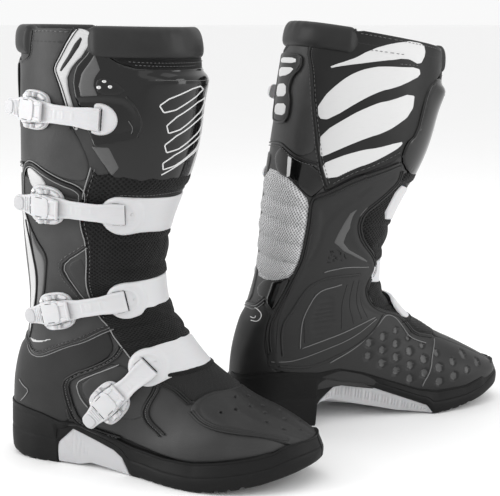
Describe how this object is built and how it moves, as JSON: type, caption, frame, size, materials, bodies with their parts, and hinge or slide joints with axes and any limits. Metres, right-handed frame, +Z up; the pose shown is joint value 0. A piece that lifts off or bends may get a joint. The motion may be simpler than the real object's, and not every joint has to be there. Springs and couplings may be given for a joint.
{
  "type": "riding boots",
  "caption": "Pair of tall off-road motorcycle riding boots: hollow shafts on an ankle hinge, moulded guards and soles, buckled straps that open.",
  "frame": {"origin": "middle of the pair's footprint, on the floor", "axes": "+Z up from the soles; +X from the right boot towards the left boot, roughly the way both toes point; -Y towards the side the right boot's buckles are seen from"},
  "size_m": [0.4964, 0.333, 0.4016],
  "materials": {
    "leather": "matte",
    "padding": "soft matte",
    "white_plastic": "satin",
    "guard_plastic": "gloss",
    "grip_rubber": "matte",
    "sole_rubber": "matte",
    "foam": "woven",
    "mesh": "mesh",
    "steel": "brushed"
  },
  "bodies": {
    "right_foot": {"right_outsole": "sole_rubber", "right_arch_insert": "white_plastic", "right_shank": "steel", "right_footbed": "foam", "right_foot_shell": "leather", "right_toe_guard": "guard_plastic", "right_inner_guard": "grip_rubber", "right_instep_band": "white_plastic", "right_instep_catch": "white_plastic", "right_ankle_gusset": "mesh"},
    "right_shaft": {"right_shaft_shell": "leather", "right_collar": "padding", "right_shin_plate": "guard_plastic", "right_calf_panel": "leather", "right_inner_panel": "leather", "right_rear_patch": "guard_plastic", "right_upper_anchor": "white_plastic", "right_shin_band": "white_plastic", "right_ankle_band": "white_plastic", "right_upper_catch": "white_plastic", "right_middle_catch": "white_plastic", "right_lower_catch": "white_plastic"},
    "right_upper_strap": {"right_upper_strap": "white_plastic"},
    "right_upper_lever": {"right_upper_lever": "white_plastic"},
    "right_middle_strap": {"right_middle_strap": "white_plastic"},
    "right_middle_lever": {"right_middle_lever": "white_plastic"},
    "right_lower_strap": {"right_lower_strap": "white_plastic"},
    "right_lower_lever": {"right_lower_lever": "white_plastic"},
    "right_instep_strap": {"right_instep_strap": "white_plastic"},
    "right_instep_lever": {"right_instep_lever": "white_plastic"},
    "left_foot": {"left_outsole": "sole_rubber", "left_arch_insert": "white_plastic", "left_shank": "steel", "left_footbed": "foam", "left_foot_shell": "leather", "left_toe_guard": "guard_plastic", "left_inner_guard": "grip_rubber", "left_instep_band": "white_plastic", "left_instep_catch": "white_plastic", "left_ankle_gusset": "mesh"},
    "left_shaft": {"left_shaft_shell": "leather", "left_collar": "padding", "left_shin_plate": "guard_plastic", "left_calf_panel": "leather", "left_inner_panel": "leather", "left_rear_patch": "guard_plastic", "left_upper_anchor": "white_plastic", "left_shin_band": "white_plastic", "left_ankle_band": "white_plastic", "left_upper_catch": "white_plastic", "left_middle_catch": "white_plastic", "left_lower_catch": "white_plastic"},
    "left_upper_strap": {"left_upper_strap": "white_plastic"},
    "left_upper_lever": {"left_upper_lever": "white_plastic"},
    "left_middle_strap": {"left_middle_strap": "white_plastic"},
    "left_middle_lever": {"left_middle_lever": "white_plastic"},
    "left_lower_strap": {"left_lower_strap": "white_plastic"},
    "left_lower_lever": {"left_lower_lever": "white_plastic"},
    "left_instep_strap": {"left_instep_strap": "white_plastic"},
    "left_instep_lever": {"left_instep_lever": "white_plastic"}
  },
  "joints": [
    {"name": "right_ankle_flex", "type": "hinge", "parent": "right_foot", "child": "right_shaft", "pos_m": [-0.17548, -0.05174, 0.112], "axis": [0.3502, 0.9367, 0], "range_deg": [-6, 12], "stiffness_Nm_per_rad": 30, "deforming": ["right_ankle_gusset"]},
    {"name": "right_upper_strap_swing", "type": "hinge", "parent": "right_shaft", "child": "right_upper_strap", "pos_m": [-0.14684, -0.13041, 0.31904], "axis": [0.1056, 0.0029, 0.9944], "range_deg": [0, 60]},
    {"name": "right_upper_lever_flip", "type": "hinge", "parent": "right_upper_strap", "child": "right_upper_lever", "pos_m": [-0.1957, -0.11514, 0.32451], "axis": [0.1056, 0.0029, 0.9944], "range_deg": [0, 100]},
    {"name": "right_middle_strap_swing", "type": "hinge", "parent": "right_shaft", "child": "right_middle_strap", "pos_m": [-0.12991, -0.12153, 0.23617], "axis": [0.065, -0.1232, 0.9902], "range_deg": [0, 60]},
    {"name": "right_middle_lever_flip", "type": "hinge", "parent": "right_middle_strap", "child": "right_middle_lever", "pos_m": [-0.1843, -0.11617, 0.24033], "axis": [0.065, -0.1232, 0.9902], "range_deg": [0, 100]},
    {"name": "right_lower_strap_swing", "type": "hinge", "parent": "right_shaft", "child": "right_lower_strap", "pos_m": [-0.13091, -0.11249, 0.15835], "axis": [-0.181, 0.0803, 0.9802], "range_deg": [0, 60]},
    {"name": "right_lower_lever_flip", "type": "hinge", "parent": "right_lower_strap", "child": "right_lower_lever", "pos_m": [-0.17872, -0.10841, 0.14913], "axis": [-0.181, 0.0803, 0.9802], "range_deg": [0, 100]},
    {"name": "right_instep_strap_swing", "type": "hinge", "parent": "right_foot", "child": "right_instep_strap", "pos_m": [-0.10956, -0.121, 0.10242], "axis": [-0.6772, 0.2728, 0.6834], "range_deg": [0, 60]},
    {"name": "right_instep_lever_flip", "type": "hinge", "parent": "right_instep_strap", "child": "right_instep_lever", "pos_m": [-0.13414, -0.12195, 0.07833], "axis": [-0.6772, 0.2728, 0.6834], "range_deg": [0, 100]},
    {"name": "left_boot_set_down", "type": "slide", "parent": "right_foot", "child": "left_foot", "axis": [1, 0, 0], "range_m": [0, 0.25]},
    {"name": "left_ankle_flex", "type": "hinge", "parent": "left_foot", "child": "left_shaft", "pos_m": [0.02685, 0.04789, 0.112], "axis": [-0.3746, 0.9272, 0], "range_deg": [-14.5, 3.5], "stiffness_Nm_per_rad": 30, "deforming": ["left_ankle_gusset"]},
    {"name": "left_upper_strap_swing", "type": "hinge", "parent": "left_shaft", "child": "left_upper_strap", "pos_m": [0.08124, 0.13852, 0.30873], "axis": [-0.2409, -0.0545, -0.969], "range_deg": [0, 60]},
    {"name": "left_upper_lever_flip", "type": "hinge", "parent": "left_upper_strap", "child": "left_upper_lever", "pos_m": [0.03407, 0.12249, 0.32169], "axis": [-0.2409, -0.0545, -0.969], "range_deg": [0, 100]},
    {"name": "left_middle_strap_swing", "type": "hinge", "parent": "left_shaft", "child": "left_middle_strap", "pos_m": [0.08691, 0.12544, 0.22488], "axis": [-0.1964, -0.1793, -0.964], "range_deg": [0, 60]},
    {"name": "left_middle_lever_flip", "type": "hinge", "parent": "left_middle_strap", "child": "left_middle_lever", "pos_m": [0.03379, 0.11911, 0.23681], "axis": [-0.1964, -0.1793, -0.964], "range_deg": [0, 100]},
    {"name": "left_lower_strap_swing", "type": "hinge", "parent": "left_shaft", "child": "left_lower_strap", "pos_m": [0.07553, 0.11209, 0.14853], "axis": [0.0425, 0.03, -0.9986], "range_deg": [0, 60]},
    {"name": "left_lower_lever_flip", "type": "hinge", "parent": "left_lower_strap", "child": "left_lower_lever", "pos_m": [0.02705, 0.10643, 0.14624], "axis": [0.0425, 0.03, -0.9986], "range_deg": [0, 100]},
    {"name": "left_instep_strap_swing", "type": "hinge", "parent": "left_foot", "child": "left_instep_strap", "pos_m": [0.09093, 0.11885, 0.10242], "axis": [0.6698, 0.2904, -0.6834], "range_deg": [0, 60]},
    {"name": "left_instep_lever_flip", "type": "hinge", "parent": "left_instep_strap", "child": "left_instep_lever", "pos_m": [0.06634, 0.11915, 0.07833], "axis": [0.6698, 0.2904, -0.6834], "range_deg": [0, 100]}
  ]
}
